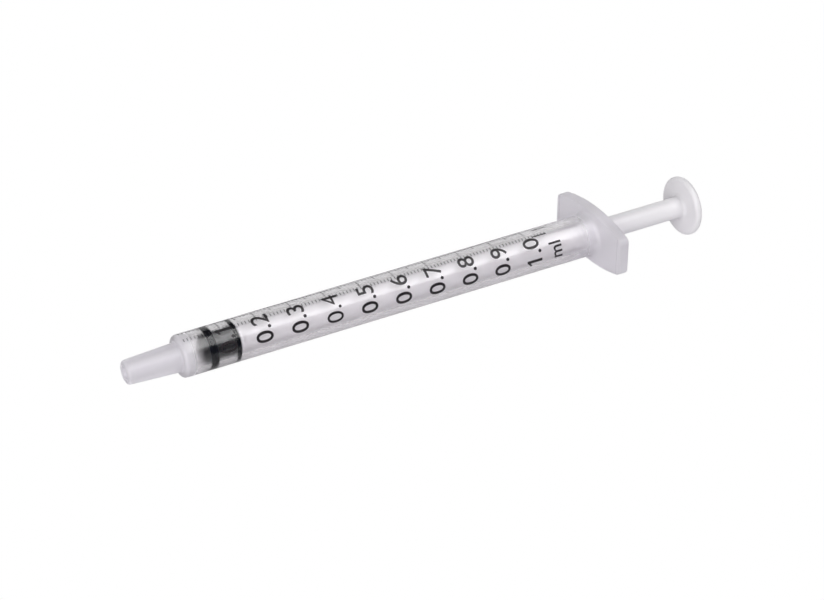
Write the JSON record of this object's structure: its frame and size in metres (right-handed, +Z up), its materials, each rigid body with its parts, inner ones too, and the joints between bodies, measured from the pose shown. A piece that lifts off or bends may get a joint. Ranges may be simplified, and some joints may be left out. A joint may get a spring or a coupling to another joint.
{
  "type": "oral syringe",
  "caption": "Oral dosing syringe: translucent graduated barrel with a tapered tip and finger flange, a black rubber stopper and a white plunger rod with a thumb disc.",
  "frame": {"origin": "bottom centre of the bounding box, with the syringe lying down and its plunger almost home", "axes": "+X along the barrel towards the thumb disc, -X out of the tip; Y along the finger flange; +Z up"},
  "size_m": [0.0978, 0.0178, 0.0096],
  "materials": {
    "natural_polypropylene": "translucent moulding with a polished outside and a slightly hazy bore",
    "white_polypropylene": "milky satin moulding",
    "black_rubber": "smooth moulded rubber, lightly oiled",
    "scale_ink": "thin black printing ink"
  },
  "bodies": {
    "barrel": {"barrel": "natural_polypropylene"},
    "stopper": {"stopper": "black_rubber"},
    "plunger": {"plunger_rod": "white_polypropylene"}
  },
  "joints": [
    {"name": "plunger_slide", "type": "slide", "parent": "barrel", "child": "stopper", "axis": [1, 0, 0], "range_m": [-0.00333, 0.0594]},
    {"name": "rod_spin", "type": "hinge", "parent": "stopper", "child": "plunger", "pos_m": [0, 0, 0.0048], "axis": [1, 0, 0], "continuous": true}
  ]
}
